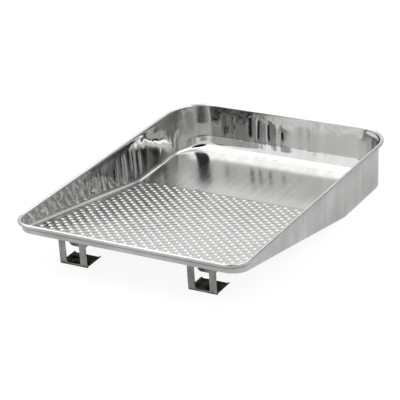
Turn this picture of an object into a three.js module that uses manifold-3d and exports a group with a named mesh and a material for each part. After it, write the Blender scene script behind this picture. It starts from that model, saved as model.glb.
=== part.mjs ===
// Paint roller tray: a drawn steel pan with a rolled rim, a deep well and a
// ramp, standing on two bent steel ladder legs that are spot-welded under it.
//
// Millimetres, +X right, +Y towards the deep end, +Z up. The origin is on the
// ground, under the middle of the tray.

import * as THREE from "three";
import { mergeVertices } from "three/addons/utils/BufferGeometryUtils.js";
import Module from "manifold-3d";

const wasm = await Module();
wasm.setup();

// ---------------------------------------------------------------- dimensions

const RIM_WIDTH = 280; // across the tray, between the middles of the rim bead
const RIM_LENGTH = 380; // along the tray, between the middles of the rim bead
const RIM_HEIGHT = 54.6; // middle of the bead above the ground
const BEAD_DIAMETER = 4.6; // outside of the rolled rim
const SHEET = 0.6; // steel of the pan
const FRONT_CORNER = 22; // plan radius of the bead at the shallow end
const BACK_CORNER = 42; // plan radius of the bead at the deep end

const RAMP_FOOT = 252; // from the front bead to the foot of the ramp
const RAMP_RISE = 44.4; // height of the ramp's underside at the front wall
const KNEE_RADIUS = 30; // bend between the ramp and the floor of the well

const FRONT_COVE = 3; // outside bend between the front wall and the ramp
const SIDE_COVE = 3.6; // outside bend along the side walls
const BACK_COVE = 12; // outside bend between the floor and the back wall
const CREASE_HEIGHT = 17; // top of the sloping strip at the foot of the back wall
const CREASE_LEAN = Math.PI / 10; // slope of that strip away from upright
const BACK_TUCK = 2.4; // how far the back wall's foot is in from its top
const NECK_DROP = 5; // the back corners step in by that much this far below the bead

const LEG_SPACING = 160.8; // between the middles of the two legs
const LEGS_OFF_CENTRE = -4.4; // the pair of legs is welded on a little to the left
const LEG_FROM_FRONT = 30; // front face of a leg behind the front bead
const LEG_SHEET = 1.1; // steel of the legs
const LEG_WIDTH = 34.4; // across the two straps of a leg
const STRAP_WIDTH = 8.2;
const FOOT_DEPTH = 28.5;
const FOOT_LIP = 2.4; // height of the foot's turned-up sides
const TONGUE_WIDTH = 24;
const TONGUE_FROM_WEB = 12; // front of the tongue behind the front of the straps
const TONGUE_TIP = 18; // height of the tongue's lower edge
const BEND = 1.2; // inside bend radius of the legs
const WELD_DIAMETER = 5;
const WELD_SPACING = 20;
const GAP = 0.3; // clearance between touching pieces

const STEEL = { color: 0xb4b6b6, roughness: 0.22, metalness: 1 };
const LEG_STEEL = { color: 0x8c8e8b, roughness: 0.3, metalness: 1 };
const WELD_STEEL = { color: 0x5e5f5e, roughness: 0.5, metalness: 1 };

// Sizes that follow from the ones above.
const FRONT = -RIM_LENGTH / 2; // the front bead's place along Y
const BEAD_RADIUS = BEAD_DIAMETER / 2;
const WALL_INSET = BEAD_RADIUS - SHEET; // bead middle to the wall's outer face
const KNEE = FRONT + RAMP_FOOT;
const RAMP_RUN = RAMP_FOOT - WALL_INSET;
const RAMP_SLOPE = RAMP_RISE / RAMP_RUN;
const RAMP_ANGLE = Math.atan(RAMP_SLOPE);
const TUCK_REACH = 3; // the tuck is full after one third of the back corner

// ------------------------------------------------------------------- the pan

// Height of the pan's underside along its length: ramp, bend, flat floor.
function underside(y) {
  const reach = KNEE_RADIUS * Math.tan(RAMP_ANGLE / 2);
  if (y >= KNEE + reach) return 0;
  const onArc = KNEE + reach - y;
  const arcRun = KNEE_RADIUS * Math.sin(RAMP_ANGLE);
  if (onArc < arcRun) return KNEE_RADIUS - Math.sqrt(KNEE_RADIUS ** 2 - onArc ** 2);
  return (KNEE - y) * RAMP_SLOPE;
}

// The right half of the wall's outer face in plan, from front to back. Each
// station has its place, its outward direction, its share of the back wall's
// wide bend, its share of the back wall's tuck, and how much of that tuck is a
// step under the bead: all of it in the corners, and a slant along the back.
function rightStations() {
  const halfWidth = RIM_WIDTH / 2 - WALL_INSET;
  const front = FRONT + WALL_INSET;
  const back = -FRONT - WALL_INSET;
  const stations = [];
  const ease = (t) => t * t * (3 - 2 * t);
  const corner = (radius, middleY, from, to, steps, atBack) => {
    for (let i = 0; i <= steps; i++) {
      const angle = from + ((to - from) * i) / steps;
      const nx = Math.cos(angle);
      const ny = Math.sin(angle);
      stations.push({
        x: halfWidth - radius + radius * nx,
        y: middleY + radius * ny,
        nx,
        ny,
        bend: atBack ? ease(i / steps) : 0,
        tuck: atBack ? ease(Math.min(1, (TUCK_REACH * i) / steps)) : 0,
        step: atBack ? ease(Math.min(1, TUCK_REACH * (1 - i / steps))) : 0,
      });
    }
  };
  const frontRadius = FRONT_CORNER - WALL_INSET;
  const backRadius = BACK_CORNER - WALL_INSET;
  corner(frontRadius, front + frontRadius, -Math.PI / 2, 0, 8, false);
  const reach = KNEE_RADIUS * Math.tan(RAMP_ANGLE / 2);
  const kneeSteps = 4;
  for (let i = 0; i <= kneeSteps; i++) {
    const y = KNEE - reach + (2 * reach * i) / kneeSteps;
    stations.push({ x: halfWidth, y, nx: 1, ny: 0, bend: 0, tuck: 0, step: 0 });
  }
  corner(backRadius, back - backRadius, 0, Math.PI / 2, 12, true);
  return stations;
}

function allStations() {
  const right = rightStations();
  const left = right.map((s) => ({ ...s, x: -s.x, nx: -s.nx })).reverse();
  return [...right, ...left];
}

// Outside bend radius at the foot of the wall.
function coveRadius(station) {
  const towardFront = Math.max(0, -station.ny);
  const side = THREE.MathUtils.lerp(SIDE_COVE, FRONT_COVE, towardFront);
  return THREE.MathUtils.lerp(side, BACK_COVE, station.bend);
}

// The sheet's section at one station, as { inset, height, lift }: inset from
// the wall's outer face, height above the underside (lift true) or the ground.
// It runs from the floor up the inner face, round the rim and down outside.
function section(station) {
  const cove = coveRadius(station);
  const tuck = BACK_TUCK * station.tuck;
  const lean = CREASE_LEAN * station.bend;
  const arcEnd = Math.PI / 2 - lean;
  const foot = cove - cove * Math.cos(arcEnd);
  const run = (CREASE_HEIGHT - foot) * Math.tan(lean);
  const tuckAt = (height) => {
    const slant = (RIM_HEIGHT - height) / (RIM_HEIGHT - CREASE_HEIGHT);
    return tuck * THREE.MathUtils.lerp(slant, 1, station.step);
  };
  const points = [];
  const coveSteps = 5;
  const coveArc = (radius, from, to) => {
    for (let i = 0; i <= coveSteps; i++) {
      const angle = from + ((to - from) * i) / coveSteps;
      points.push({
        inset: tuck + run + cove * Math.sin(arcEnd) - radius * Math.sin(angle),
        height: cove - radius * Math.cos(angle),
        lift: true,
      });
    }
  };
  const curlSteps = 10;
  const curlEnd = THREE.MathUtils.degToRad(300);
  const curlArc = (radius, from, to) => {
    for (let i = 0; i <= curlSteps; i++) {
      const angle = from + ((to - from) * i) / curlSteps;
      points.push({
        inset: -WALL_INSET + radius * Math.cos(angle),
        height: RIM_HEIGHT + radius * Math.sin(angle),
        lift: false,
      });
    }
  };
  const neck = RIM_HEIGHT - NECK_DROP;
  // Where the wall has no crease, that point is just one more on its flat face.
  const base = foot + underside(station.y);
  const crease = THREE.MathUtils.lerp((base + neck) / 2, CREASE_HEIGHT, station.bend);
  coveArc(cove - SHEET, 0, arcEnd);
  points.push({ inset: tuckAt(crease) + SHEET, height: crease, lift: false });
  points.push({ inset: tuckAt(neck) + SHEET, height: neck, lift: false });
  curlArc(BEAD_RADIUS, 0, curlEnd);
  curlArc(BEAD_RADIUS - SHEET, curlEnd, 0);
  points.push({ inset: tuckAt(neck), height: neck, lift: false });
  points.push({ inset: tuckAt(crease), height: crease, lift: false });
  coveArc(cove, arcEnd, 0);
  return points;
}

function panGeometry() {
  const stations = allStations();
  const positions = [];
  const rings = section(stations[0]).length;
  for (const station of stations) {
    for (const point of section(station)) {
      const x = station.x - station.nx * point.inset;
      const y = station.y - station.ny * point.inset;
      const z = point.height + (point.lift ? underside(y) : 0);
      positions.push(x, y, z);
    }
  }
  const count = stations.length;
  const at = (station, ring) => (station % count) * rings + ring;
  const triangles = [];
  for (let s = 0; s < count; s++) {
    for (let r = 0; r < rings - 1; r++) {
      triangles.push(at(s, r), at(s, r + 1), at(s + 1, r));
      triangles.push(at(s + 1, r), at(s, r + 1), at(s + 1, r + 1));
    }
  }
  // The floor and ramp are strips across the tray, above and below.
  const last = rings - 1;
  for (let s = 0; s < count / 2 - 1; s++) {
    const mirror = count - 1 - s;
    triangles.push(at(s, 0), at(s + 1, 0), at(mirror, 0));
    triangles.push(at(s + 1, 0), at(mirror - 1, 0), at(mirror, 0));
    triangles.push(at(s, last), at(mirror, last), at(s + 1, last));
    triangles.push(at(s + 1, last), at(mirror, last), at(mirror - 1, last));
  }
  const geometry = new THREE.BufferGeometry();
  geometry.setAttribute("position", new THREE.Float32BufferAttribute(positions, 3));
  geometry.setIndex(triangles);
  return geometry;
}

// ------------------------------------------------------------------ the legs

function solid(geometry) {
  const bare = geometry.clone();
  bare.deleteAttribute("normal");
  bare.deleteAttribute("uv");
  const merged = mergeVertices(bare, 1e-4);
  const mesh = new wasm.Mesh({
    numProp: 3,
    vertProperties: new Float32Array(merged.attributes.position.array),
    triVerts: new Uint32Array(merged.index.array),
  });
  return new wasm.Manifold(mesh);
}

function geometryOf(manifold) {
  const mesh = manifold.getMesh();
  const geometry = new THREE.BufferGeometry();
  const positions = new THREE.Float32BufferAttribute(mesh.vertProperties, 3);
  geometry.setAttribute("position", positions);
  geometry.setIndex([...mesh.triVerts]);
  return geometry;
}

// A plate cut to a shape: drawn in X and Z, and running along Y.
function plateAcrossY(shape, fromY, toY, curveSegments = 6) {
  const options = { depth: toY - fromY, bevelEnabled: false, curveSegments };
  const geometry = new THREE.ExtrudeGeometry(shape, options);
  geometry.rotateX(Math.PI / 2);
  geometry.translate(0, toY, 0);
  return geometry;
}

// A bent sheet: its centre line is drawn in Y and Z, and it runs along X.
function bentSheet(corners, radius, thickness, width) {
  const half = thickness / 2;
  const left = [];
  const right = [];
  const bendSteps = 4;
  corners.forEach((corner, i) => {
    const before = corners[i - 1];
    const after = corners[i + 1];
    const arrive = before && corner.clone().sub(before).normalize();
    const leave = after && after.clone().sub(corner).normalize();
    if (!arrive || !leave) {
      const along = arrive ?? leave;
      const normal = new THREE.Vector2(-along.y, along.x);
      left.push(corner.clone().addScaledVector(normal, half));
      right.push(corner.clone().addScaledVector(normal, -half));
      return;
    }
    const turn = Math.atan2(arrive.cross(leave), arrive.dot(leave));
    const middleRadius = radius + half;
    const setback = middleRadius * Math.tan(Math.abs(turn) / 2);
    const side = Math.sign(turn);
    const start = corner.clone().addScaledVector(arrive, -setback);
    const inward = new THREE.Vector2(-arrive.y, arrive.x).multiplyScalar(side);
    const centre = start.clone().addScaledVector(inward, middleRadius);
    for (let k = 0; k <= bendSteps; k++) {
      const spoke = inward.clone().negate().rotateAround(new THREE.Vector2(), (turn * k) / bendSteps);
      const outer = centre.clone().addScaledVector(spoke, middleRadius + half);
      const inner = centre.clone().addScaledVector(spoke, middleRadius - half);
      left.push(side > 0 ? inner : outer);
      right.push(side > 0 ? outer : inner);
    }
  });
  const outline = new THREE.Shape([...right, ...left.reverse()]);
  const geometry = new THREE.ExtrudeGeometry(outline, { depth: width, bevelEnabled: false });
  // Shape X and Y become the tray's Y and Z, and the depth runs along X.
  geometry.rotateX(Math.PI / 2);
  geometry.rotateZ(Math.PI / 2);
  geometry.translate(-width / 2, 0, 0);
  return geometry;
}

function roundedRectangle(left, bottom, right, top, radius) {
  const shape = new THREE.Shape();
  shape.moveTo(left + radius, bottom);
  shape.lineTo(right - radius, bottom);
  shape.absarc(right - radius, bottom + radius, radius, -Math.PI / 2, 0);
  shape.lineTo(right, top - radius);
  shape.absarc(right - radius, top - radius, radius, 0, Math.PI / 2);
  shape.lineTo(left + radius, top);
  shape.absarc(left + radius, top - radius, radius, Math.PI / 2, Math.PI);
  shape.lineTo(left, bottom + radius);
  shape.absarc(left + radius, bottom + radius, radius, Math.PI, Math.PI * 1.5);
  return shape;
}

// Places of the leg's parts, in the leg's own frame: X from its middle, Y in
// the tray's frame, Z from the ground.
const WEB_FRONT = FRONT + LEG_FROM_FRONT;
const WEB_MIDDLE = WEB_FRONT + LEG_SHEET / 2;
const FLANGE_DROP = GAP + LEG_SHEET / 2; // sheet middle below the ramp's underside
const flangeHeight = (y) => underside(y) - FLANGE_DROP / Math.cos(RAMP_ANGLE);
const TONGUE_MIDDLE = WEB_MIDDLE + TONGUE_FROM_WEB;
const WINDOW_SILL = 3.2;
const WINDOW_HEAD = 31;
const WINDOW_CORNER = 2.6;

function legGeometry() {
  const foot = new THREE.Vector2(WEB_FRONT + FOOT_DEPTH, LEG_SHEET / 2);
  const toe = new THREE.Vector2(WEB_MIDDLE, LEG_SHEET / 2);
  const shoulder = new THREE.Vector2(WEB_MIDDLE, flangeHeight(WEB_MIDDLE));
  const hook = new THREE.Vector2(TONGUE_MIDDLE, flangeHeight(TONGUE_MIDDLE));
  const tip = new THREE.Vector2(TONGUE_MIDDLE, TONGUE_TIP);
  const strip = solid(bentSheet([foot, toe, shoulder, hook, tip], BEND, LEG_SHEET, LEG_WIDTH));

  const windowHalf = LEG_WIDTH / 2 - STRAP_WIDTH;
  const windowShape = roundedRectangle(-windowHalf, WINDOW_SILL, windowHalf, WINDOW_HEAD, WINDOW_CORNER);
  const opening = solid(plateAcrossY(windowShape, WEB_FRONT - 2, WEB_FRONT + LEG_SHEET + 2));

  const tongueTop = flangeHeight(TONGUE_MIDDLE) + 6;
  const cutWidth = LEG_WIDTH + 4;
  const tongueCorner = 5;
  const keep = roundedRectangle(-TONGUE_WIDTH / 2, TONGUE_TIP, TONGUE_WIDTH / 2, tongueTop, tongueCorner);
  const around = new THREE.Shape([
    new THREE.Vector2(-cutWidth / 2, TONGUE_TIP - 2),
    new THREE.Vector2(cutWidth / 2, TONGUE_TIP - 2),
    new THREE.Vector2(cutWidth / 2, tongueTop - tongueCorner),
    new THREE.Vector2(-cutWidth / 2, tongueTop - tongueCorner),
  ]);
  const tongueFront = TONGUE_MIDDLE - LEG_SHEET / 2 - BEND;
  const tongueBack = TONGUE_MIDDLE + LEG_SHEET / 2 + 1;
  const trim = solid(plateAcrossY(around, tongueFront, tongueBack))
    .subtract(solid(plateAcrossY(keep, tongueFront - 1, tongueBack + 1)));

  const heel = WEB_FRONT + FOOT_DEPTH;
  const ball = WEB_FRONT + LEG_SHEET + BEND;
  const footSides = solid(plateAcrossY(footSection(), ball, heel));
  const sole = new THREE.BoxGeometry(LEG_WIDTH + 2, heel - ball + 2, FOOT_LIP + 2);
  sole.translate(0, (ball + heel) / 2 + 1, FOOT_LIP / 2);

  let leg = strip.subtract(solid(sole)).subtract(opening).subtract(trim).add(footSides);
  for (const sign of [-1, 1]) {
    leg = leg.subtract(solid(weldCylinder(sign, WELD_DIAMETER / 2 + GAP, 6 * LEG_SHEET)));
  }
  return geometryOf(leg);
}

// A cylinder square to the ramp, through the flange at one of its two welds.
function weldCylinder(sign, radius, length) {
  const geometry = new THREE.CylinderGeometry(radius, radius, length, 20);
  geometry.rotateX(Math.PI / 2 - RAMP_ANGLE);
  const y = (WEB_MIDDLE + TONGUE_MIDDLE) / 2;
  geometry.translate((sign * WELD_SPACING) / 2, y, flangeHeight(y));
  return geometry;
}

// The foot plate's section across the tray: flat, with its sides curled up.
function footSection() {
  const half = LEG_WIDTH / 2;
  const outer = FOOT_LIP;
  const inner = FOOT_LIP - LEG_SHEET;
  const shape = new THREE.Shape();
  shape.moveTo(-half + outer, 0);
  shape.lineTo(half - outer, 0);
  shape.absarc(half - outer, outer, outer, -Math.PI / 2, 0);
  shape.lineTo(half - LEG_SHEET, outer);
  shape.absarc(half - outer, outer, inner, 0, -Math.PI / 2, true);
  shape.lineTo(-half + outer, LEG_SHEET);
  shape.absarc(-half + outer, outer, inner, -Math.PI / 2, -Math.PI, true);
  shape.lineTo(-half, outer);
  shape.absarc(-half + outer, outer, outer, Math.PI, Math.PI * 1.5);
  return shape;
}

// ------------------------------------------------------------------ assembly

const tray = new THREE.Group();

function addMesh(name, geometry, material, x = 0) {
  const mesh = new THREE.Mesh(geometry, new THREE.MeshStandardMaterial(material));
  mesh.name = name;
  mesh.position.x = x;
  tray.add(mesh);
}

addMesh("tray_pan", panGeometry(), STEEL);
for (const [side, sign] of [["left", -1], ["right", 1]]) {
  const legMiddle = LEGS_OFF_CENTRE + (sign * LEG_SPACING) / 2;
  addMesh(`${side}_ladder_leg`, legGeometry(), LEG_STEEL, legMiddle);
  for (const [mark, weldSign] of [["a", -1], ["b", 1]]) {
    const nugget = weldCylinder(weldSign, WELD_DIAMETER / 2, LEG_SHEET);
    addMesh(`${side}_leg_weld_${mark}`, nugget, WELD_STEEL, legMiddle);
  }
}

export default tray;
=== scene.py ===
"""A steel paint roller tray: drawn pan with a dimpled ramp, on two ladder legs.

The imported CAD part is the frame. The pan is shown by a finer mesh with its
dimples, draw marks and rolled rim. Metres, +X right, +Y to the deep end, +Z up.
"""

import math
import random

import bpy
import numpy as np
from mathutils import Matrix, Vector
from mathutils.geometry import delaunay_2d_cdt


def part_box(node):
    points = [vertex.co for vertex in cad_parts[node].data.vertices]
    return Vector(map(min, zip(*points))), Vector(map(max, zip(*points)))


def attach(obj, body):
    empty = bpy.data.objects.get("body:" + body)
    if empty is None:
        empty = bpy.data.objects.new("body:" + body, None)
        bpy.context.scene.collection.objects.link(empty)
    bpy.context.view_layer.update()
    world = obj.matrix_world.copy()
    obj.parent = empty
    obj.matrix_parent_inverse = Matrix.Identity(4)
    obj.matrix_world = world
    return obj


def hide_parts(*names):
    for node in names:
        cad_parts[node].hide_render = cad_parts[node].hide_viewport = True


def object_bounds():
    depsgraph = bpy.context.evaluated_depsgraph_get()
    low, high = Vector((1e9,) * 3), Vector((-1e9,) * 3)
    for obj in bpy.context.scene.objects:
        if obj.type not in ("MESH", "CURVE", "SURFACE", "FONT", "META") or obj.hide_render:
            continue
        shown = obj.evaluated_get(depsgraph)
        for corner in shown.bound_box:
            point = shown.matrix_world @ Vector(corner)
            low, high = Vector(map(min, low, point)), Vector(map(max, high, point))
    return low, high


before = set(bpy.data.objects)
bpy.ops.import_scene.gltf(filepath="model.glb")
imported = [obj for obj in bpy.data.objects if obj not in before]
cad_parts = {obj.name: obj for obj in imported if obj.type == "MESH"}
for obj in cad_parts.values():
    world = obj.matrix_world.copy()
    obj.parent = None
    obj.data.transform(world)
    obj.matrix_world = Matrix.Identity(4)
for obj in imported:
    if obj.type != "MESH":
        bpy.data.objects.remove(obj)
cad_low, cad_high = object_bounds()
pan_low, pan_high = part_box("tray_pan")

MM = 0.001

# ------------------------------------------------------------ the pan's sizes

SHEET = 0.6 * MM
BEAD_RADIUS = 2.3 * MM
WALL_INSET = BEAD_RADIUS - SHEET  # bead middle to the wall's outer face
HALF_WIDTH = pan_high.x - BEAD_RADIUS - WALL_INSET
FRONT = pan_low.y + BEAD_RADIUS + WALL_INSET
BACK = pan_high.y - BEAD_RADIUS - WALL_INSET
RIM_HEIGHT = pan_high.z - BEAD_RADIUS
FRONT_CORNER = 22 * MM - WALL_INSET
BACK_CORNER = 42 * MM - WALL_INSET
SOFT_CORNER = 7 * MM  # the back corners ease into the flat walls over about this
KNEE = pan_low.y + BEAD_RADIUS + 252 * MM  # foot of the ramp
RAMP_SLOPE = 44.4 * MM / (KNEE - FRONT)
RAMP_ANGLE = math.atan(RAMP_SLOPE)
KNEE_RADIUS = 30 * MM
KNEE_REACH = KNEE_RADIUS * math.tan(RAMP_ANGLE / 2)  # the bend starts this far from the foot
FRONT_COVE = 3 * MM
SIDE_COVE = 3.6 * MM
BACK_COVE = 12 * MM
CREASE_HEIGHT = 17 * MM  # top of the sloping strip at the foot of the back wall
CREASE_LEAN = math.radians(18)  # how far that strip leans out of upright
NECK = RIM_HEIGHT - 5 * MM  # above this height the wall goes out to the bead
SIDE_DRAFT = math.radians(5)  # the side walls lean in by this just below the neck
DRAFT_REACH = 22 * MM  # and are nearly upright again this far down
BACK_TUCK = 2.4 * MM  # how far the back wall's foot is in from the bead
TUCK_REACH = 3  # the tuck is full after one third of the back corner
LEFT_STEP = 0.1  # the left corner steps in under the bead by this share of the right one's
CURL = math.radians(300)  # how far round the rim's edge is rolled
BEAD_SHOULDER = 0.42  # share of the curl that has the inner face's finish; the rest has the outside's, darker as painted shade
WALL_SKIN, FLOOR_SKIN, OUTER_SKIN = range(3)  # the pan's finishes, in this order

# Spacing of the mesh. Round the walls: front and sides, back, corners, and the
# left half's back, whose folds are narrow. Over the floor: flat parts and the knee.
COARSE = 3.2 * MM
STATION = 2.4 * MM
CORNER_STATION = 0.75 * STATION
FINE = 1.2 * MM
FINE_REACH = 130 * MM
FLOOR_STEP = 6 * MM
KNEE_STEP = 4 * MM
FLOOR_MARGIN = 0.9 * MM  # no floor point is nearer to the walls
CREASE_ROWS = (0.3, 0.6, 0.8, 0.9, 0.97, 1.04, 1.12, 1.25)  # rows about the crease
SHARP_EDGE = math.radians(50)

# The dimples stand in slanting rows: one step along X, one step up the ramp.
DIMPLE_ORIGIN = np.array([9.4, -55.6]) * MM
DIMPLE_ACROSS = np.array([13.504, -0.228]) * MM
DIMPLE_ALONG = np.array([6.332, 6.623]) * MM
DIMPLE_HEIGHT = 1.25 * MM
DIMPLE_RADIUS = 4.2 * MM
DIMPLE_SIDE_MARGIN = 127 * MM
DIMPLE_FRONT_MARGIN = 8 * MM
DIMPLE_FOOT_MARGIN = 1 * MM
DIMPLE_CORNER_MARGIN = 8 * MM
DIMPLE_TOP_RINGS = ((0.28, 6), (0.52, 11), (0.76, 15), (1.0, 15))  # radius share, points
DIMPLE_UNDER_RINGS = ((0.45, 6), (1.0, 10))

# Folds that drawing has left in the walls. Place along the rim from the middle of
# the back wall (minus to the right), width and depth, in millimetres; tone from -1,
# scuffed matt, to 1, dark residue with painted dark reflection; and the share of the wall's height
# it spans.
FOLDS = [
    (5, 1.9, 0.25, 0.85, 0.40, 0.66),
    (24, 2.1, 0.35, 0.7, 0.30, 0.82),
    (38, 1.9, 0.30, 0.75, 0.30, 0.88),
    (49, 2.6, 0.40, 0.9, 0.34, 0.94),
    (74, 3.5, 0.30, 0.28, 0.30, 0.92),
    (85, 6.0, 0.30, 0.38, 0.30, 0.95),
    (62, 4.0, 0.20, -0.4, 0.15, 0.85),
    (-38, 3.0, 0.10, -0.4, 0.05, 0.9),
    (-52, 4.0, 0.12, -0.5, 0.10, 0.8),
    (-64, 2.0, 0.10, -0.6, 0.30, 0.95),
    (-88, 5.0, 0.15, -0.6, 0.55, 0.95),
]
LEFT_SCUFFS = (241, 254, 273, 279, 290)  # places of the bright ones in the left wall
LEFT_FOLDS = 22
LEFT_RANGE = (232, 400)
FRONT_NICKS = range(-507, -488, 4)
FOLD_FADE = 0.12  # share of the wall's height over which a fold ends
RIPPLES = ((46, 0.10), (31, 0.07), (19, 0.05), (12.5, 0.03), (8, 0.02), (5.2, 0.014))  # mm
OUTER_TONE = 0.12  # how much of a fold's tone shows outside
UNDER_BEAD_SHADE_TONE = 0.4  # painted shade in the groove under the bead

EDGE_RADIUS = 0.2 * MM  # of the legs' sheet


def ease(t):
    """0 to 1 with soft ends."""
    t = np.clip(t, 0, 1)
    return t * t * (3 - 2 * t)


def underside(y):
    """Height of the pan's underside: ramp, bend, flat floor."""
    on_arc = KNEE + KNEE_REACH - y
    arc = KNEE_RADIUS - np.sqrt(np.maximum(KNEE_RADIUS**2 - on_arc**2, 0))
    arc_run = KNEE_RADIUS * math.sin(RAMP_ANGLE)
    ramp = (KNEE - y) * RAMP_SLOPE
    return np.where(on_arc <= 0, 0, np.where(on_arc < arc_run, arc, ramp))


def half_rim(back_spacing):
    """Stations of the wall's outer face, from the front middle to the back middle."""
    rows = []

    def line(x0, y0, x1, y1, nx, ny, back, spacing):
        steps = math.ceil(math.hypot(x1 - x0, y1 - y0) / spacing)
        for i in range(steps):
            t = i / steps
            rows.append((x0 + (x1 - x0) * t, y0 + (y1 - y0) * t, nx, ny, back))

    def corner(radius, middle_y, start, at_back):
        steps = math.ceil(radius * math.pi / 2 / CORNER_STATION)
        for i in range(steps):
            angle = start + math.pi / 2 * i / steps
            nx = math.cos(angle)
            ny = math.sin(angle)
            x = HALF_WIDTH - radius + radius * nx
            rows.append((x, middle_y + radius * ny, nx, ny, at_back * i / steps))

    turn = BACK - BACK_CORNER
    line(0, FRONT, HALF_WIDTH - FRONT_CORNER, FRONT, 0, -1, 0, COARSE)
    corner(FRONT_CORNER, FRONT + FRONT_CORNER, -math.pi / 2, 0)
    line(HALF_WIDTH, FRONT + FRONT_CORNER, HALF_WIDTH, turn - FINE_REACH, 1, 0, 0, COARSE)
    line(HALF_WIDTH, turn - FINE_REACH, HALF_WIDTH, turn, 1, 0, 0, back_spacing)
    corner(BACK_CORNER, turn, 0, 1)
    line(HALF_WIDTH - BACK_CORNER, BACK, 0, BACK, 0, 1, 1, back_spacing)
    rows.append((0, BACK, 0, 1, 1))
    return np.array(rows, float)


def soften(ring, along, step):
    """Blends the flat walls into the back corners over a few millimetres."""
    reach = np.maximum(SOFT_CORNER * ease((ring[:, 1] - BACK) / (2 * BACK_CORNER) + 1), 0.01 * MM)
    away = along[:, None] - along[None]
    length = along[-1] + step[-1]
    away = np.minimum(abs(away), length - abs(away))
    weight = np.exp(-0.5 * (away / reach[:, None]) ** 2) * step[None]
    ring[:, :4] = weight @ ring[:, :4] / weight.sum(axis=1)[:, None]
    ring[:, 2:4] /= np.linalg.norm(ring[:, 2:4], axis=1)[:, None]


def all_stations():
    """Every station round the pan, anticlockwise from the front middle."""
    right = half_rim(STATION)
    left = half_rim(FINE)[1:-1][::-1] * np.array([-1, 1, -1, 1, 1])
    ring = np.vstack([right, left])
    step = np.linalg.norm(np.diff(ring[:, :2], axis=0, append=ring[:1, :2]), axis=1)
    along = np.concatenate([[0], np.cumsum(step)[:-1]])
    soften(ring, along, step)
    return {
        "place": ring[:, :2],
        "out": ring[:, 2:4],
        "from_back": along - along[len(right) - 1],
        "bend": ease(ring[:, 4]),
        "tuck": BACK_TUCK * ease(TUCK_REACH * ring[:, 4]),
        "step": ease(TUCK_REACH * (1 - ring[:, 4])) * np.where(ring[:, 0] > 0, 1, LEFT_STEP),
        "front": np.clip(-ring[:, 3], 0, 1),
    }


def all_folds():
    """The listed folds, and more of the same kind scattered along the left wall."""
    rng = random.Random(7)
    folds = list(FOLDS)
    for place in LEFT_SCUFFS:
        folds.append((place, 1.4, 0.20, -1.0, 0.02, 0.9))
    for _ in range(LEFT_FOLDS):
        low = rng.uniform(0.0, 0.3)
        tone = rng.choice((-0.9, -0.7, 0.6))
        depth = rng.uniform(0.1, 0.3)
        place = rng.uniform(*LEFT_RANGE)
        width = rng.uniform(1.2, 2.2)
        folds.append((place, width, depth, tone, low, rng.uniform(0.6, 1)))
    for place in FRONT_NICKS:
        folds.append((place, 0.9, 0.12, 0.5, 0.3, 0.8))
    return folds


def draw_marks(from_back, share):
    """How far the wall is pushed out by ripples and folds, and the tone of the folds."""
    rng = random.Random(5)
    push = np.zeros_like(from_back)
    for wavelength, size in RIPPLES:
        for _ in range(2):
            phase = rng.uniform(0, 2 * math.pi)
            turn = from_back / (wavelength * MM * rng.uniform(0.85, 1.15))
            push += size * MM * np.sin(2 * math.pi * turn + phase)
    tone = np.zeros_like(from_back)
    for place, width, depth, shade, low, high in all_folds():
        sway = 0.5 * np.sin(4 * share + place)
        across = np.exp(-(((from_back / MM - place - sway) / width) ** 2))
        reach = ease((share - low) / FOLD_FADE + 0.5) * ease((high - share) / FOLD_FADE + 0.5)
        push += depth * MM * across * reach
        tone += shade * across * reach
    window = ease(share / 0.2) * ease((1 - share) / 0.25)
    return push * window, tone


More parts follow.
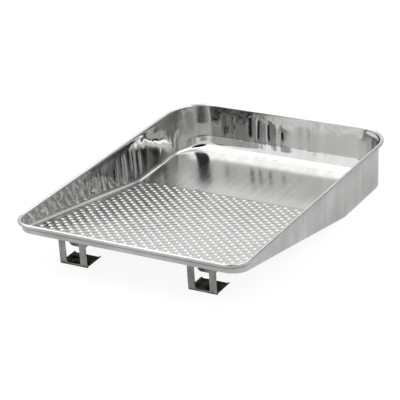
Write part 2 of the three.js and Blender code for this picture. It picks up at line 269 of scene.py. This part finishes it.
def wall_rings(stations):
    """The sheet's section at every station: ring after ring of points, tones and skin."""
    place = stations["place"]
    out = stations["out"]
    tuck = stations["tuck"]
    side = SIDE_COVE + (FRONT_COVE - SIDE_COVE) * stations["front"]
    cove = side + (BACK_COVE - side) * stations["bend"]
    lean = CREASE_LEAN * stations["bend"]
    arc_end = math.pi / 2 - lean
    foot = cove - cove * np.cos(arc_end)
    run = (CREASE_HEIGHT - foot) * np.tan(lean)
    base = foot + underside(place[:, 1])
    low_part = (NECK - base) * 0.2
    crease = base + low_part + (CREASE_HEIGHT - base - low_part) * stations["bend"]
    plain = np.zeros(len(tuck))
    rings = []

    def add(inset, height, skin, lifted=False, tone=plain):
        flat = place - out * inset[:, None]
        z = height + underside(flat[:, 1]) if lifted else height
        rings.append((np.column_stack([flat, z]), tone, skin))

    def tuck_at(height):
        """The tuck at a height: full under the neck in the corners, a slant at the back."""
        slant = np.clip((RIM_HEIGHT - height) / (RIM_HEIGHT - CREASE_HEIGHT), 0, 1)
        step = ease((RIM_HEIGHT - height) / (RIM_HEIGHT - NECK))
        below = np.maximum(NECK - height, 0)
        draft = math.tan(SIDE_DRAFT) * DRAFT_REACH * (1 - np.exp(-below / DRAFT_REACH))
        return tuck * (slant + (step - slant) * stations["step"]) + draft * (1 - stations["bend"])

    def cove_rings(sheet, turns, skin):
        radius = cove - sheet
        centre = tuck_at(base) + run + cove * np.sin(arc_end)
        for turn in turns:
            angle = arc_end * turn
            add(centre - radius * np.sin(angle), cove - radius * np.cos(angle), skin, True)

    def wall_rows(sheet, low_shares, high_shares, skin):
        heights = [base + (crease - base) * q for q in low_shares]
        bottom = base + (crease - base) * CREASE_ROWS[-1]
        heights += [bottom + (NECK - bottom) * q for q in high_shares]
        for height in heights:
            over = 1 - (height - base) / (crease - base)
            slope = run * 0.5 * (over + np.sqrt(over**2 + 0.004))
            push, tone = draw_marks(stations["from_back"], (height - base) / (NECK - base))
            tone = tone * (1 if skin == WALL_SKIN else OUTER_TONE)
            add(tuck_at(height) + slope + sheet - push, height, skin, tone=tone)

    def flare_rows(sheet, shares, skin, tone=plain):
        for share in shares:
            height = np.full(len(tuck), NECK + (RIM_HEIGHT - NECK) * share)
            add(sheet + tuck_at(height), height, skin, tone=tone)

    def curl_rows(radius, turns):
        for turn in turns:
            angle = CURL * turn
            inset = -WALL_INSET + radius * math.cos(angle)
            height = RIM_HEIGHT + radius * math.sin(angle)
            skin = WALL_SKIN if turn < BEAD_SHOULDER and radius == BEAD_RADIUS else OUTER_SKIN
            add(np.full(len(tuck), inset), np.full(len(tuck), height), skin)

    # painted shade: a dark tone on the outer rows in the groove under the bead
    under_bead_shade = np.full(len(tuck), UNDER_BEAD_SHADE_TONE)
    cove_rings(SHEET, np.linspace(0, 1, 9), WALL_SKIN)
    wall_rows(SHEET, CREASE_ROWS, np.linspace(0, 1, 10)[1:], WALL_SKIN)
    flare_rows(SHEET, np.linspace(0, 1, 5)[1:], WALL_SKIN)
    curl_rows(BEAD_RADIUS, np.linspace(0, 1, 15)[1:])
    curl_rows(BEAD_RADIUS - SHEET, np.linspace(1, 0, 8))
    flare_rows(0, (0.75, 0.5, 0.25), OUTER_SKIN, under_bead_shade)
    flare_rows(0, [0], OUTER_SKIN, under_bead_shade * 0.6)
    wall_rows(0, [], np.linspace(1, 0, 7)[1:], OUTER_SKIN)
    wall_rows(0, (1.0, 0.7, 0.3), [], OUTER_SKIN)
    cove_rings(0, np.linspace(1, 0, 8), OUTER_SKIN)
    return rings


def dimples():
    """Place, height and radius of each dimple pressed up out of the ramp."""
    rng = random.Random(11)
    found = []
    for i in range(-30, 31):
        for j in range(-30, 31):
            x, y = DIMPLE_ORIGIN + i * DIMPLE_ACROSS + j * DIMPLE_ALONG
            if abs(x) > DIMPLE_SIDE_MARGIN:
                continue
            if not FRONT + DIMPLE_FRONT_MARGIN < y < KNEE - DIMPLE_FOOT_MARGIN:
                continue
            corner_x = abs(x) - (HALF_WIDTH - FRONT_CORNER)
            corner_y = FRONT + FRONT_CORNER - y
            reach = math.hypot(max(corner_x, 0), max(corner_y, 0))
            if reach > FRONT_CORNER - DIMPLE_CORNER_MARGIN:
                continue
            x += rng.gauss(0, 0.12) * MM
            y += rng.gauss(0, 0.12) * MM
            height = DIMPLE_HEIGHT * rng.uniform(0.9, 1.06)
            found.append((x, y, height, DIMPLE_RADIUS * rng.uniform(0.96, 1.04)))
    return found


def swell(x, y):
    """Slow waves that a big flat sheet has after drawing."""
    u = x / MM
    v = y / MM
    waves = 0.10 * np.sin(u / 23 + v / 61 + 1.0) + 0.08 * np.sin(v / 19 - u / 47 + 0.4)
    return MM * (waves + 0.05 * np.sin(u / 11 + v / 29 + 2.2))


def dimple_points(bumps, ring_steps):
    """The top of each dimple and rings of points round it, with their rises."""
    points = []
    rises = []
    for x, y, height, radius in bumps:
        points.append((x, y))
        rises.append(height)
        for share, count in ring_steps:
            for k in range(count):
                angle = 2 * math.pi * (k + share) / count
                px = x + radius * share * math.cos(angle)
                py = y + radius * share * math.sin(angle)
                points.append((px, py))
                rises.append(height * math.cos(math.pi / 2 * share) ** 2)
    return points, rises


def plain_points(bumps):
    """A grid over the floor, closer at the knee, with no point on a dimple."""
    grid = []
    for y in np.arange(FRONT, BACK, FLOOR_STEP):
        for x in np.arange(-HALF_WIDTH, HALF_WIDTH, FLOOR_STEP):
            grid.append((x, y))
    for y in np.linspace(KNEE - KNEE_REACH, KNEE + KNEE_REACH, 5):
        for x in np.arange(-HALF_WIDTH, HALF_WIDTH, KNEE_STEP):
            grid.append((x, y))
    grid = np.array(grid)
    centres = np.array([bump[:2] for bump in bumps])
    gap = np.linalg.norm(grid[:, None] - centres[None], axis=2).min(axis=1)
    return grid[gap > 1.15 * DIMPLE_RADIUS]


def floor_points(edge, out, bumps, ring_steps):
    """Plan points and heights over the underside for the ramp and the well's floor."""
    points, rises = dimple_points(bumps, ring_steps)
    plain = plain_points(bumps)
    points = np.vstack([np.array(points), plain])
    rises = np.concatenate([rises, np.zeros(len(plain))])
    away = np.linalg.norm(points[:, None] - edge[None, :, :2], axis=2)
    nearest = away.argmin(axis=1)
    away = away.min(axis=1)
    inward = ((edge[nearest, :2] - points) * out[nearest]).sum(axis=1)
    keep = (inward > FLOOR_MARGIN) & (away > FLOOR_MARGIN)
    fade = ease((away - 1 * MM) / (12 * MM))
    rises = rises + swell(points[:, 0], points[:, 1]) * fade
    return points[keep], rises[keep]


def fill(edge, points):
    """Triangles over the plan inside the edge, as indices: points first, then the edge.

    The edge is a little hollow in places. A triangle between it and its hull has only
    edge points, and runs against their order.
    """
    flat = [Vector(p) for p in points / MM] + [Vector(p) for p in edge / MM]
    first = len(points)
    outline = range(first, len(flat))
    result = delaunay_2d_cdt(flat, [], [outline], 1, 1e-5, True)
    source = [ids[0] for ids in result[3]]
    faces = []
    for corners in result[2]:
        face = [source[v] for v in corners]
        turned = face.index(min(face))
        face = face[turned:] + face[:turned]
        if face[0] < first or face[1] < face[2]:
            faces.append(face)
    return faces


def wall_faces(rings, count):
    """Four-sided faces between the rings, and the skin of each."""
    here = np.arange(count)
    ahead = np.roll(here, -1)
    faces = []
    skins = []
    for r in range(len(rings) - 1):
        low = r * count
        high = low + count
        faces += np.column_stack([here + high, ahead + high, ahead + low, here + low]).tolist()
        skins += [rings[r + 1][2]] * count
    return faces, skins


def pan_mesh():
    """The pan's closed sheet: the walls' rings, then its top and under side inside them."""
    stations = all_stations()
    rings = wall_rings(stations)
    count = len(stations["from_back"])
    verts = np.vstack([points for points, _, _ in rings])
    tones = np.concatenate([tone for _, tone, _ in rings])
    faces, skins = wall_faces(rings, count)
    bumps = dimples()
    top = (0, SHEET, DIMPLE_TOP_RINGS)
    under = (len(rings) - 1, 0, DIMPLE_UNDER_RINGS)
    for ring_index, lift, ring_steps in (top, under):
        edge = rings[ring_index][0]
        points, rises = floor_points(edge, stations["out"], bumps, ring_steps)
        z = underside(points[:, 1]) + lift + rises
        start = len(verts)
        on_edge = ring_index * count - len(points)
        verts = np.vstack([verts, np.column_stack([points, z])])
        for face in fill(edge[:, :2], points):
            ids = [v + (start if v < len(points) else on_edge) for v in face]
            faces.append(ids if lift else ids[::-1])
            skins.append(FLOOR_SKIN if lift else OUTER_SKIN)
    mesh = bpy.data.meshes.new("tray_pan_fine")
    mesh.from_pydata(verts.tolist(), [], faces)
    mesh.update()
    mesh.polygons.foreach_set("use_smooth", [True] * len(mesh.polygons))
    mesh.polygons.foreach_set("material_index", skins)
    mesh.set_sharp_from_angle(angle=SHARP_EDGE)
    tone = mesh.attributes.new("tone", "FLOAT", "POINT")
    tone.data.foreach_set("value", np.concatenate([tones, np.zeros(len(verts) - len(tones))]))
    return mesh


def add_object(name, mesh, *materials):
    """A new object in the scene with its materials in order."""
    piece = bpy.data.objects.new(name, mesh)
    bpy.context.scene.collection.objects.link(piece)
    for material in materials:
        mesh.materials.append(material)
    return piece


def round_edges(node):
    """Breaks the sharp edges of a leg's sheet with a small radius."""
    weld = node.modifiers.new("weld", "WELD")
    weld.merge_threshold = 0.01 * MM
    bevel = node.modifiers.new("round", "BEVEL")
    bevel.width = EDGE_RADIUS
    bevel.segments = 2
    bevel.limit_method = "ANGLE"
    bevel.angle_limit = math.radians(35)


# ----------------------------------------------------------------- materials

BRIGHT = ((0.51, 0.515, 0.505), (0.565, 0.57, 0.56))  # stained and clean steel, inside
DULL_AND_SHADED = ((0.32, 0.325, 0.315), (0.46, 0.465, 0.455))  # the same outside: a duller finish, and darker as painted shade
# near black: residue with painted dark reflection in the folds, and the painted shade under the
# bead
RESIDUE_AND_SHADE = (0.03, 0.032, 0.03)
SCUFFED = 0.42  # roughness of a scuffed fold


def new_material(name):
    """A material, its node tree and its shader."""
    material = bpy.data.materials.new(name)
    material.use_nodes = True
    tree = material.node_tree
    return material, tree, tree.nodes["Principled BSDF"]


def noise(tree, vector, scale, detail=3.0, roughness=0.55):
    """Noise from about 0.3 to 0.7."""
    node = tree.nodes.new("ShaderNodeTexNoise")
    node.inputs["Scale"].default_value = scale
    node.inputs["Detail"].default_value = detail
    node.inputs["Roughness"].default_value = roughness
    tree.links.new(vector, node.inputs["Vector"])
    return node.outputs["Fac"]


def stretched(tree, scale):
    """Object coordinates, scaled along each axis."""
    coords = tree.nodes.new("ShaderNodeTexCoord")
    mapping = tree.nodes.new("ShaderNodeMapping")
    mapping.inputs["Scale"].default_value = scale
    tree.links.new(coords.outputs["Object"], mapping.inputs["Vector"])
    return mapping.outputs["Vector"]


def spread(tree, value, low, high, from_low=0.3, from_high=0.7):
    """A value in a new range, clamped."""
    node = tree.nodes.new("ShaderNodeMapRange")
    node.inputs["From Min"].default_value = from_low
    node.inputs["From Max"].default_value = from_high
    node.inputs["To Min"].default_value = low
    node.inputs["To Max"].default_value = high
    tree.links.new(value, node.inputs["Value"])
    return node.outputs["Result"]


def blend_colours(tree, factor, first, second):
    """Two colours mixed by a factor. Each is three numbers or another node's output."""
    node = tree.nodes.new("ShaderNodeMix")
    node.data_type = "RGBA"
    for name, colour in (("A", first), ("B", second)):
        socket = [s for s in node.inputs if s.name == name and s.type == "RGBA"][0]
        if isinstance(colour, bpy.types.NodeSocket):
            tree.links.new(colour, socket)
        else:
            socket.default_value = (*colour, 1)
    tree.links.new(factor, node.inputs["Factor"])
    return [s for s in node.outputs if s.type == "RGBA"][0]


def blend_values(tree, factor, first, second):
    """A value mixed by a factor towards a plain number."""
    node = tree.nodes.new("ShaderNodeMix")
    tree.links.new(first, node.inputs["A"])
    node.inputs["B"].default_value = second
    tree.links.new(factor, node.inputs["Factor"])
    return node.outputs["Result"]


def bump(tree, height, strength, distance, before=None):
    """A normal tilted by a height, on top of an earlier bump if there is one."""
    node = tree.nodes.new("ShaderNodeBump")
    node.inputs["Strength"].default_value = strength
    node.inputs["Distance"].default_value = distance
    tree.links.new(height, node.inputs["Height"])
    if before is not None:
        tree.links.new(before, node.inputs["Normal"])
    return node.outputs["Normal"]


def draw_steel(name, grain_run, roughness, waviness, colours):
    """Bright drawn steel: streaks along the way it was drawn, and a fine grain.

    grain_run is the noise's scale along each axis, low along the streaks.
    """
    dark, light = colours
    material, tree, shader = new_material(name)
    shader.inputs["Metallic"].default_value = 1
    streaks = noise(tree, stretched(tree, grain_run), 1.0, 4)
    bands = noise(tree, stretched(tree, [scale / 6 for scale in grain_run]), 1.0, 3)
    stains = noise(tree, stretched(tree, (1, 1, 1)), 18, 5, 0.6)
    grain = noise(tree, stretched(tree, (1, 1, 1)), 1800, 2)
    tone = tree.nodes.new("ShaderNodeAttribute")
    tone.attribute_name = "tone"
    # a tone above zero darkens towards near black: residue with painted dark reflection in the
    # folds, painted shade under the bead
    residue_and_shade = spread(tree, tone.outputs["Fac"], 0, 1, 0.15, 0.6)
    scuff = spread(tree, tone.outputs["Fac"], 1, 0, -0.8, -0.1)
    colour = blend_colours(tree, spread(tree, stains, 0, 1), dark, light)
    colour = blend_colours(tree, spread(tree, bands, 0.25, 0), colour, [c * 0.6 for c in dark])
    colour = blend_colours(tree, residue_and_shade, colour, RESIDUE_AND_SHADE)
    tree.links.new(colour, shader.inputs["Base Color"])
    gloss = blend_values(tree, scuff, spread(tree, streaks, *roughness), SCUFFED)
    tree.links.new(gloss, shader.inputs["Roughness"])
    rough = bump(tree, streaks, 0.12, 0.0003)
    rough = bump(tree, bands, waviness, 0.0006, rough)
    rough = bump(tree, grain, 0.03, 0.00003, rough)
    tree.links.new(rough, shader.inputs["Normal"])
    return material


def pan_steels():
    """The pan's finishes in the order of its skins: walls, floor and ramp, outside."""
    upright = (420, 420, 14)
    along_the_pan = (900, 18, 900)
    return (
        draw_steel("wall_steel", upright, (0.04, 0.10), 0.2, BRIGHT),
        draw_steel("floor_steel", along_the_pan, (0.14, 0.22), 0.3, BRIGHT),
        # the outside: a rougher finish, its darker colour painted shade
        draw_steel("outer_steel", upright, (0.18, 0.32), 0.5, DULL_AND_SHADED),
    )


def leg_steel():
    """Duller sheet steel, with painted shade and dark reflection over the foot."""
    material, tree, shader = new_material("leg_steel")
    shader.inputs["Metallic"].default_value = 1
    shader.inputs["Specular Tint"].default_value = (0.25, 0.25, 0.24, 1)
    streaks = noise(tree, stretched(tree, (500, 500, 30)), 1.0, 4)
    stains = noise(tree, stretched(tree, (1, 1, 1)), 90, 5, 0.6)
    split = tree.nodes.new("ShaderNodeSeparateXYZ")
    tree.links.new(stretched(tree, (1, 1, 1)), split.inputs["Vector"])
    # the foot is darkened: painted shade and dark reflection from under the tray
    foot = spread(tree, split.outputs["Z"], 1, 0, 1.8 * MM, 3.4 * MM)
    stains = spread(tree, stains, 0, 1)
    colour = blend_colours(tree, stains, (0.14, 0.142, 0.132), (0.29, 0.295, 0.278))
    painted_foot_shade = blend_colours(tree, stains, (0.012, 0.012, 0.010), (0.15, 0.155, 0.14))
    colour = blend_colours(tree, foot, colour, painted_foot_shade)
    tree.links.new(colour, shader.inputs["Base Color"])
    tree.links.new(spread(tree, streaks, 0.2, 0.42), shader.inputs["Roughness"])
    tree.links.new(bump(tree, streaks, 0.2, 0.0002), shader.inputs["Normal"])
    return material


def weld_steel():
    """Heat-darkened weld metal."""
    material, tree, shader = new_material("weld_steel")
    shader.inputs["Metallic"].default_value = 1
    rings = noise(tree, stretched(tree, (1, 1, 1)), 600, 4)
    colour = blend_colours(tree, spread(tree, rings, 0, 1), (0.16, 0.13, 0.11), (0.30, 0.29, 0.29))
    tree.links.new(colour, shader.inputs["Base Color"])
    tree.links.new(spread(tree, rings, 0.35, 0.6), shader.inputs["Roughness"])
    tree.links.new(bump(tree, rings, 0.4, 0.0002), shader.inputs["Normal"])
    return material


def pale_floor():
    """A pale backing sheet, lit through from below as a light table is."""
    material, tree, shader = new_material("pale_floor")
    shader.inputs["Base Color"].default_value = (0.1, 0.1, 0.1, 1)
    shader.inputs["Roughness"].default_value = 0.9
    shader.inputs["Specular IOR Level"].default_value = 0.0
    shader.inputs["Emission Color"].default_value = (1, 1, 1, 1)
    shader.inputs["Emission Strength"].default_value = 0.9
    return material


# ------------------------------------------------------- light, floor, camera

# The photo's view, in degrees, metres and millimetres of lens. Azimuth 0 looks
# along +Y, and it grows towards +X.
CAMERA_AZIMUTH = 30.91
CAMERA_ELEVATION = 24.495
CAMERA_ROLL = -3.741
CAMERA_DISTANCE = 2.032
CAMERA_TARGET = Vector((-0.00174, -0.02305, 0.035))
CAMERA_LENS = 163.69
SENSOR_WIDTH = 36
FLOOR_REACH = 6.0
FLOOR_DROP = 0.3 * MM  # the floor is this far under the part

# What the steel mirrors besides the plain studio: azimuth and elevation of the
# middle of each soft-edged patch, the angles where it is full and where it ends, and
# its light. Later patches lie over earlier ones.
PATCHES = (
    (180, 70, 20, 32, 1.25),  # calmer ceiling inside the ring
    (-36, 20, 18, 32, 1.45),  # lighter screen at the front left
    (145, 20, 6, 12, 0.05),  # dark doorway behind the pan
    (-128, 57, 3, 6, 1.0),  # gap in the bright ring
    (26, 46, 20, 25, 0.02),  # the photographer's dark side
)
RING_LOW = (0.53, 1.12)  # height and light where the bright ring starts
RING_HIGH = (0.74, 3.4)  # and where it is full


def toward(azimuth, elevation):
    """The direction from the object to an azimuth and elevation in degrees."""
    a = math.radians(azimuth)
    e = math.radians(elevation)
    return (math.sin(a) * math.cos(e), -math.cos(a) * math.cos(e), math.sin(e))


def add_camera():
    """The camera at the photo's viewing angle."""
    data = bpy.data.cameras.new("camera")
    data.sensor_width = SENSOR_WIDTH
    data.lens = CAMERA_LENS
    camera = bpy.data.objects.new("camera", data)
    bpy.context.scene.collection.objects.link(camera)
    back = Vector(toward(CAMERA_AZIMUTH, CAMERA_ELEVATION))
    right = Vector(toward(CAMERA_AZIMUTH + 90, 0))
    up = back.cross(right)
    roll = math.radians(CAMERA_ROLL)
    rolled_right = right * math.cos(roll) + up * math.sin(roll)
    rolled_up = up * math.cos(roll) - right * math.sin(roll)
    turned = Matrix((rolled_right, rolled_up, back)).transposed()
    camera.matrix_world = turned.to_4x4()
    camera.location = CAMERA_TARGET + back * CAMERA_DISTANCE
    bpy.context.scene.camera = camera


def add_floor():
    """A wide pale floor just under the part."""
    mesh = bpy.data.meshes.new("floor")
    r = FLOOR_REACH
    z = cad_low.z - FLOOR_DROP
    mesh.from_pydata([(-r, -r, z), (r, -r, z), (r, r, z), (-r, r, z)], [], [(0, 1, 2, 3)])
    add_object("floor", mesh, pale_floor())


def world_light(tree, coords, below, direction, inner, outer, strength):
    """Blends the light so far towards a strength inside a cone of directions."""
    dot = tree.nodes.new("ShaderNodeVectorMath")
    dot.operation = "DOT_PRODUCT"
    dot.inputs[1].default_value = direction
    tree.links.new(coords, dot.inputs[0])
    share = tree.nodes.new("ShaderNodeMapRange")
    share.interpolation_type = "SMOOTHSTEP"
    share.inputs["From Min"].default_value = math.cos(math.radians(outer))
    share.inputs["From Max"].default_value = math.cos(math.radians(inner))
    tree.links.new(dot.outputs["Value"], share.inputs["Value"])
    return blend_values(tree, share.outputs["Result"], below, strength)


def add_world():
    """A white studio with a bright ring high up, and patches of other light."""
    world = bpy.data.worlds.new("studio")
    bpy.context.scene.world = world
    world.use_nodes = True
    tree = world.node_tree
    coords = tree.nodes.new("ShaderNodeTexCoord").outputs["Generated"]
    split = tree.nodes.new("ShaderNodeSeparateXYZ")
    tree.links.new(coords, split.inputs["Vector"])
    low, dim = RING_LOW
    high, bright = RING_HIGH
    light = spread(tree, split.outputs["Z"], dim, bright, low, high)
    for azimuth, elevation, inner, outer, strength in PATCHES:
        light = world_light(tree, coords, light, toward(azimuth, elevation), inner, outer, strength)
    tree.links.new(light, tree.nodes["Background"].inputs["Strength"])
    tree.nodes["Background"].inputs["Color"].default_value = (1.0, 1.0, 0.995, 1)


# ------------------------------------------------------------------ the scene

pan = add_object("tray_pan_fine", pan_mesh(), *pan_steels())
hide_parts("tray_pan")
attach(pan, "root")


leg_material = leg_steel()
weld_material = weld_steel()
for name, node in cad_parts.items():
    if name.endswith("_ladder_leg"):
        node.data.materials.clear()
        node.data.materials.append(leg_material)
        round_edges(node)
    elif "_weld_" in name:
        node.data.materials.clear()
        node.data.materials.append(weld_material)

add_floor()
add_world()
add_camera()
bpy.context.scene.view_settings.view_transform = "Standard"
